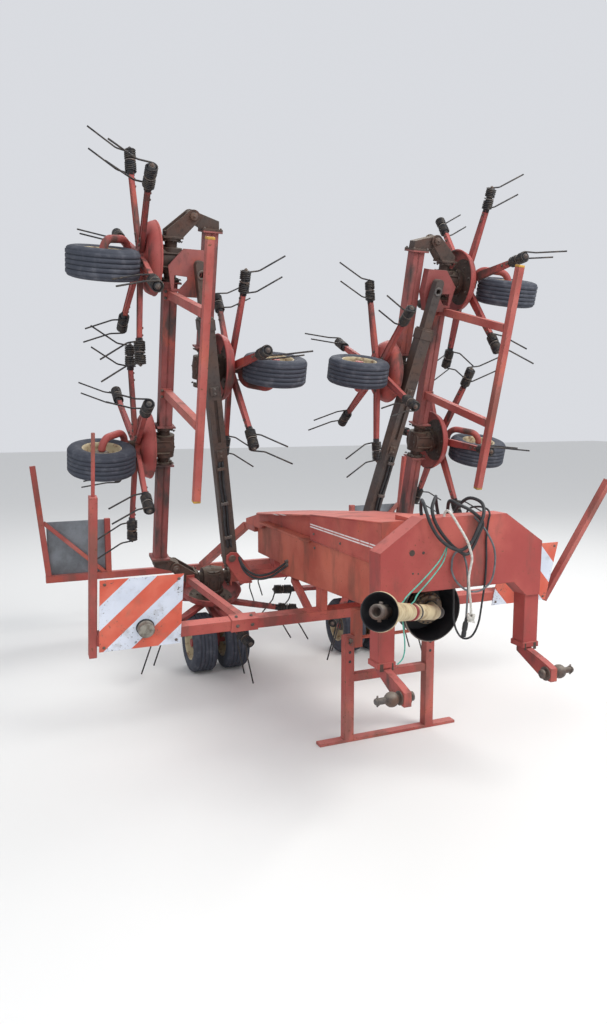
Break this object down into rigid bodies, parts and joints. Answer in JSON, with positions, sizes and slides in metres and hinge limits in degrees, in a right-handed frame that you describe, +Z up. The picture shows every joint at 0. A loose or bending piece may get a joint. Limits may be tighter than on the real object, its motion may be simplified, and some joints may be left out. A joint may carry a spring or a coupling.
{
  "type": "hay tedder",
  "caption": "Trailed rotary hay tedder folded upright for parking, with tined rotors on folding wings, twin centre wheels, swivelling linkage yoke, drive shaft and parking stand.",
  "frame": {"origin": "on the floor under the middle of the parking stand foot", "axes": "+X forwards to the hitch, +Y to the left of the machine, +Z up"},
  "size_m": [3.6566, 3.4394, 3.2146],
  "materials": {
    "red_paint": "faded, dusty",
    "bright_paint": "faded",
    "housing": "greasy and dusty",
    "strut": "greasy and worn",
    "tyre": "worn",
    "hose_rubber": "matt, dusty",
    "cable_sheath": "weathered",
    "rope": "frayed",
    "board": "striped sheet",
    "black_plastic": "matt",
    "cream_plastic": "weathered",
    "bare_steel": "worn"
  },
  "bodies": {
    "chassis": {"centre_beam": "red_paint", "centre_gearboxes": "housing", "centre_legs": "red_paint", "drawbar_cover": "red_paint", "drawbar_box": "red_paint", "front_guard": "red_paint", "front_boards": "board", "front_posts": "bright_paint", "lamps": "black_plastic", "rear_frame": "red_paint", "rear_boards": "board", "pto_guard": "black_plastic", "pto_clutch": "bare_steel"},
    "headstock": {"yoke": "red_paint", "link_pins": "bare_steel", "pto_shaft": "cream_plastic", "pto_end_guard": "black_plastic", "pto_end_yoke": "bare_steel", "hoses": "hose_rubber", "plug_cable": "cable_sheath", "tie_rope": "rope"},
    "stand": {"stand": "bright_paint"},
    "wing_left": {"wing_beam_left": "red_paint", "wing_gearboxes_left": "housing", "wing_legs_left": "red_paint", "wing_guard_left": "bright_paint"},
    "outer_left": {"outer_beam_left": "red_paint", "outer_gearbox_left": "housing", "outer_leg_left": "red_paint"},
    "strut_left": {"strut_channel_left": "strut"},
    "rod_left": {"strut_rod_left": "strut"},
    "wing_right": {"wing_beam_right": "red_paint", "wing_gearboxes_right": "housing", "wing_legs_right": "red_paint", "wing_guard_right": "bright_paint"},
    "outer_right": {"outer_beam_right": "red_paint", "outer_gearbox_right": "housing", "outer_leg_right": "red_paint"},
    "strut_right": {"strut_channel_right": "strut"},
    "rod_right": {"strut_rod_right": "strut"},
    "rotor_body_left_1": {"rotor_left_1": "red_paint"},
    "wheel_body_left_1": {"wheel_left_1": "tyre"},
    "rotor_body_left_2": {"rotor_left_2": "red_paint"},
    "wheel_body_left_2": {"wheel_left_2": "tyre"},
    "rotor_body_left_3": {"rotor_left_3": "red_paint"},
    "wheel_body_left_3": {"wheel_left_3": "tyre"},
    "rotor_body_left_4": {"rotor_left_4": "red_paint"},
    "wheel_body_left_4": {"wheel_left_4": "tyre"},
    "rotor_body_right_1": {"rotor_right_1": "red_paint"},
    "wheel_body_right_1": {"wheel_right_1": "tyre"},
    "rotor_body_right_2": {"rotor_right_2": "red_paint"},
    "wheel_body_right_2": {"wheel_right_2": "tyre"},
    "rotor_body_right_3": {"rotor_right_3": "red_paint"},
    "wheel_body_right_3": {"wheel_right_3": "tyre"},
    "rotor_body_right_4": {"rotor_right_4": "red_paint"},
    "wheel_body_right_4": {"wheel_right_4": "tyre"}
  },
  "joints": [
    {"name": "headstock_swivel", "type": "hinge", "parent": "chassis", "child": "headstock", "pos_m": [0.455, 0, 1.07], "axis": [0, 0, 1], "range_deg": [-35, 35]},
    {"name": "stand_lift", "type": "slide", "parent": "chassis", "child": "stand", "axis": [0, 0, 1], "range_m": [0, 0.13]},
    {"name": "wing_fold_left", "type": "hinge", "parent": "chassis", "child": "wing_left", "pos_m": [-1.40989, 0.79, 0.70764], "axis": [0.9681, 0, -0.2504], "range_deg": [-90, 0]},
    {"name": "outer_fold_left", "type": "hinge", "parent": "wing_left", "child": "outer_left", "pos_m": [-0.87858, 0.78, 2.76205], "axis": [0.9681, 0, -0.2504], "range_deg": [-180, 0]},
    {"name": "strut_swing_left", "type": "hinge", "parent": "chassis", "child": "strut_left", "pos_m": [-1.2685, 0.475, 0.79502], "axis": [0.9681, 0, -0.2504], "range_deg": [-82.96, 0]},
    {"name": "rod_slide_left", "type": "slide", "parent": "strut_left", "child": "rod_left", "axis": [0.247, 0.1629, 0.9552], "range_m": [0, 0.41365]},
    {"name": "wing_fold_right", "type": "hinge", "parent": "chassis", "child": "wing_right", "pos_m": [-1.40989, -0.79, 0.70764], "axis": [-0.9681, 0, 0.2504], "range_deg": [-90, 0]},
    {"name": "outer_fold_right", "type": "hinge", "parent": "wing_right", "child": "outer_right", "pos_m": [-0.87858, -0.78, 2.76205], "axis": [-0.9681, 0, 0.2504], "range_deg": [-180, 0]},
    {"name": "strut_swing_right", "type": "hinge", "parent": "chassis", "child": "strut_right", "pos_m": [-1.2685, -0.475, 0.79502], "axis": [-0.9681, 0, 0.2504], "range_deg": [-82.96, 0]},
    {"name": "rod_slide_right", "type": "slide", "parent": "strut_right", "child": "rod_right", "axis": [0.247, -0.1629, 0.9552], "range_m": [0, 0.41365]},
    {"name": "rotor_spin_left_1", "type": "hinge", "parent": "chassis", "child": "rotor_body_left_1", "pos_m": [-1.43493, 0.535, 0.61083], "axis": [0.2504, 0, 0.9681], "continuous": true},
    {"name": "wheel_roll_left_1", "type": "hinge", "parent": "chassis", "child": "wheel_body_left_1", "pos_m": [-1.37333, 0.535, 0.19], "axis": [0, 1, 0], "continuous": true},
    {"name": "rotor_spin_left_2", "type": "hinge", "parent": "wing_left", "child": "rotor_body_left_2", "pos_m": [-1.20583, 0.89, 1.49668], "axis": [0, -1, 0], "continuous": true},
    {"name": "wheel_roll_left_2", "type": "hinge", "parent": "wing_left", "child": "wheel_body_left_2", "pos_m": [-1.0536, 1.282, 1.42633], "axis": [0.2504, 0, 0.9681], "continuous": true},
    {"name": "rotor_spin_left_3", "type": "hinge", "parent": "wing_left", "child": "rotor_body_left_3", "pos_m": [-0.93792, 0.89, 2.5326], "axis": [0, -1, 0], "continuous": true},
    {"name": "wheel_roll_left_3", "type": "hinge", "parent": "wing_left", "child": "wheel_body_left_3", "pos_m": [-0.78569, 1.282, 2.46224], "axis": [0.2504, 0, 0.9681], "continuous": true},
    {"name": "rotor_spin_left_4", "type": "hinge", "parent": "outer_left", "child": "rotor_body_left_4", "pos_m": [-1.08715, 0.67, 1.95558], "axis": [0, 1, 0], "continuous": true},
    {"name": "wheel_roll_left_4", "type": "hinge", "parent": "outer_left", "child": "wheel_body_left_4", "pos_m": [-0.91989, 0.278, 1.94331], "axis": [-0.2504, 0, -0.9681], "continuous": true},
    {"name": "rotor_spin_right_1", "type": "hinge", "parent": "chassis", "child": "rotor_body_right_1", "pos_m": [-1.43493, -0.535, 0.61083], "axis": [0.2504, 0, 0.9681], "continuous": true},
    {"name": "wheel_roll_right_1", "type": "hinge", "parent": "chassis", "child": "wheel_body_right_1", "pos_m": [-1.37333, -0.535, 0.19], "axis": [0, -1, 0], "continuous": true},
    {"name": "rotor_spin_right_2", "type": "hinge", "parent": "wing_right", "child": "rotor_body_right_2", "pos_m": [-1.20583, -0.89, 1.49668], "axis": [0, 1, 0], "continuous": true},
    {"name": "wheel_roll_right_2", "type": "hinge", "parent": "wing_right", "child": "wheel_body_right_2", "pos_m": [-1.0536, -1.282, 1.42633], "axis": [0.2504, 0, 0.9681], "continuous": true},
    {"name": "rotor_spin_right_3", "type": "hinge", "parent": "wing_right", "child": "rotor_body_right_3", "pos_m": [-0.93792, -0.89, 2.5326], "axis": [0, 1, 0], "continuous": true},
    {"name": "wheel_roll_right_3", "type": "hinge", "parent": "wing_right", "child": "wheel_body_right_3", "pos_m": [-0.78569, -1.282, 2.46224], "axis": [0.2504, 0, 0.9681], "continuous": true},
    {"name": "rotor_spin_right_4", "type": "hinge", "parent": "outer_right", "child": "rotor_body_right_4", "pos_m": [-1.08715, -0.67, 1.95558], "axis": [0, -1, 0], "continuous": true},
    {"name": "wheel_roll_right_4", "type": "hinge", "parent": "outer_right", "child": "wheel_body_right_4", "pos_m": [-0.91989, -0.278, 1.94331], "axis": [-0.2504, 0, -0.9681], "continuous": true}
  ],
  "couplings": [
    {"joint": "outer_fold_left", "follows": "wing_fold_left", "ratio": 2},
    {"joint": "strut_swing_left", "follows": "wing_fold_left", "ratio": 0.92166},
    {"joint": "rod_slide_left", "follows": "wing_fold_left", "m_per_rad": -0.26333},
    {"joint": "outer_fold_right", "follows": "wing_fold_right", "ratio": 2},
    {"joint": "strut_swing_right", "follows": "wing_fold_right", "ratio": 0.92166},
    {"joint": "rod_slide_right", "follows": "wing_fold_right", "m_per_rad": -0.26333},
    {"joint": "rotor_spin_left_1", "follows": "rotor_spin_right_1", "ratio": -1},
    {"joint": "rotor_spin_left_2", "follows": "rotor_spin_right_1", "ratio": 1},
    {"joint": "rotor_spin_left_3", "follows": "rotor_spin_right_1", "ratio": -1},
    {"joint": "rotor_spin_left_4", "follows": "rotor_spin_right_1", "ratio": 1},
    {"joint": "rotor_spin_right_2", "follows": "rotor_spin_right_1", "ratio": -1},
    {"joint": "rotor_spin_right_3", "follows": "rotor_spin_right_1", "ratio": 1},
    {"joint": "rotor_spin_right_4", "follows": "rotor_spin_right_1", "ratio": -1}
  ]
}
